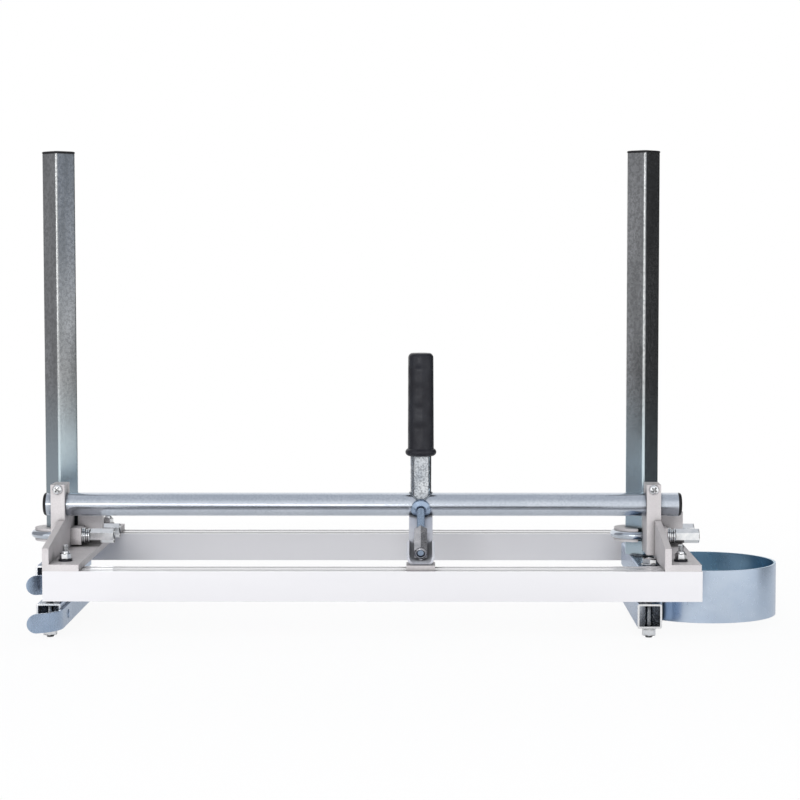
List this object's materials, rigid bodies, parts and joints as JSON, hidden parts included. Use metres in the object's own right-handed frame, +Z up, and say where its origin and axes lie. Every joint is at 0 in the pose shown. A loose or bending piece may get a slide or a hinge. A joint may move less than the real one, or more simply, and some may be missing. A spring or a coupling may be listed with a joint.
{
  "type": "chainsaw mill",
  "caption": "Portable chainsaw mill: slotted rail frame with push handle, and clamped square posts whose jaws hold a guide bar below it, with a nose guard loop.",
  "frame": {"origin": "centre of the bounding box in plan, at the lowest ends of the jaw bolts, on which the mill stands", "axes": "+X along the rails towards the nose guard, +Y from the front rail to the rear rail, +Z up along the posts"},
  "size_m": [0.7872, 0.331, 0.499],
  "materials": {
    "anodised_aluminium": "satin anodised",
    "milled_aluminium": "fine brushed",
    "zinc_steel": "zinc plated, slightly blue",
    "zinc_fasteners": "bright zinc plated",
    "black_rubber": "matte moulded rubber",
    "black_plastic": "moulded, slightly glossy"
  },
  "bodies": {
    "frame": {"front_rail": "anodised_aluminium", "rear_rail": "anodised_aluminium", "push_tube": "zinc_steel", "push_tube_caps": "black_plastic", "handle_tube": "zinc_steel", "handle_grip": "black_rubber", "brace_foot": "milled_aluminium", "brace_foot_screw": "zinc_fasteners", "brace_channel": "zinc_steel", "brace_stud": "zinc_steel", "brace_long_nut": "zinc_fasteners", "brace_dome_washer": "zinc_steel"},
    "left_bracket": {"left_angle": "milled_aluminium", "left_tube_block": "milled_aluminium", "left_rear_cheek": "milled_aluminium", "left_v_bar": "milled_aluminium", "left_gusset": "milled_aluminium", "left_u_bolt": "zinc_steel", "left_saddle": "milled_aluminium", "left_washers": "zinc_fasteners", "left_clamp_screw": "zinc_fasteners", "left_rail_bolts": "zinc_fasteners", "left_rail_nuts": "zinc_fasteners", "left_rubber_washers": "black_rubber"},
    "left_front_nut": {"left_front_nut": "zinc_fasteners"},
    "left_rear_nut": {"left_rear_nut": "zinc_fasteners"},
    "left_post": {"left_post": "zinc_steel", "left_post_cap": "black_plastic", "left_upper_jaw": "zinc_steel", "left_jaw_bolts": "zinc_fasteners", "left_upper_skid": "zinc_steel", "left_upper_rivets": "zinc_fasteners"},
    "left_jaw": {"left_lower_jaw": "zinc_steel", "left_jaw_nuts": "zinc_fasteners", "left_lower_skid": "zinc_steel", "left_lower_rivets": "zinc_fasteners"},
    "right_bracket": {"right_angle": "milled_aluminium", "right_tube_block": "milled_aluminium", "right_rear_cheek": "milled_aluminium", "right_v_bar": "milled_aluminium", "right_gusset": "milled_aluminium", "right_u_bolt": "zinc_steel", "right_saddle": "milled_aluminium", "right_washers": "zinc_fasteners", "right_clamp_screw": "zinc_fasteners", "right_rail_bolts": "zinc_fasteners", "right_rail_nuts": "zinc_fasteners", "right_rubber_washers": "black_rubber"},
    "right_front_nut": {"right_front_nut": "zinc_fasteners"},
    "right_rear_nut": {"right_rear_nut": "zinc_fasteners"},
    "right_post": {"right_post": "zinc_steel", "right_post_cap": "black_plastic", "right_upper_jaw": "zinc_steel", "right_jaw_bolts": "zinc_fasteners", "nose_guard": "zinc_steel", "guard_screws": "zinc_fasteners"},
    "right_jaw": {"right_lower_jaw": "zinc_steel", "right_jaw_nuts": "zinc_fasteners"}
  },
  "joints": [
    {"name": "left_bracket_slide", "type": "slide", "parent": "frame", "child": "left_bracket", "axis": [1, 0, 0], "range_m": [0, 0.18]},
    {"name": "left_post_slide", "type": "slide", "parent": "left_bracket", "child": "left_post", "axis": [0, 0, 1], "range_m": [-0.3, 0]},
    {"name": "left_jaw_slide", "type": "slide", "parent": "left_post", "child": "left_jaw", "axis": [0, 0, 1], "range_m": [-0.002, 0.0135]},
    {"name": "left_front_nut_turn", "type": "hinge", "parent": "left_bracket", "child": "left_front_nut", "pos_m": [-0.31542, -0.022, 0.0965], "axis": [1, 0, 0], "continuous": true},
    {"name": "left_rear_nut_turn", "type": "hinge", "parent": "left_bracket", "child": "left_rear_nut", "pos_m": [-0.31542, 0.022, 0.0965], "axis": [1, 0, 0], "continuous": true},
    {"name": "right_bracket_slide", "type": "slide", "parent": "frame", "child": "right_bracket", "axis": [1, 0, 0], "range_m": [-0.18, 0]},
    {"name": "right_post_slide", "type": "slide", "parent": "right_bracket", "child": "right_post", "axis": [0, 0, 1], "range_m": [-0.3, 0]},
    {"name": "right_jaw_slide", "type": "slide", "parent": "right_post", "child": "right_jaw", "axis": [0, 0, 1], "range_m": [-0.002, 0.0135]},
    {"name": "right_front_nut_turn", "type": "hinge", "parent": "right_bracket", "child": "right_front_nut", "pos_m": [0.29758, -0.022, 0.0965], "axis": [1, 0, 0], "continuous": true},
    {"name": "right_rear_nut_turn", "type": "hinge", "parent": "right_bracket", "child": "right_rear_nut", "pos_m": [0.29758, 0.022, 0.0965], "axis": [1, 0, 0], "continuous": true}
  ]
}
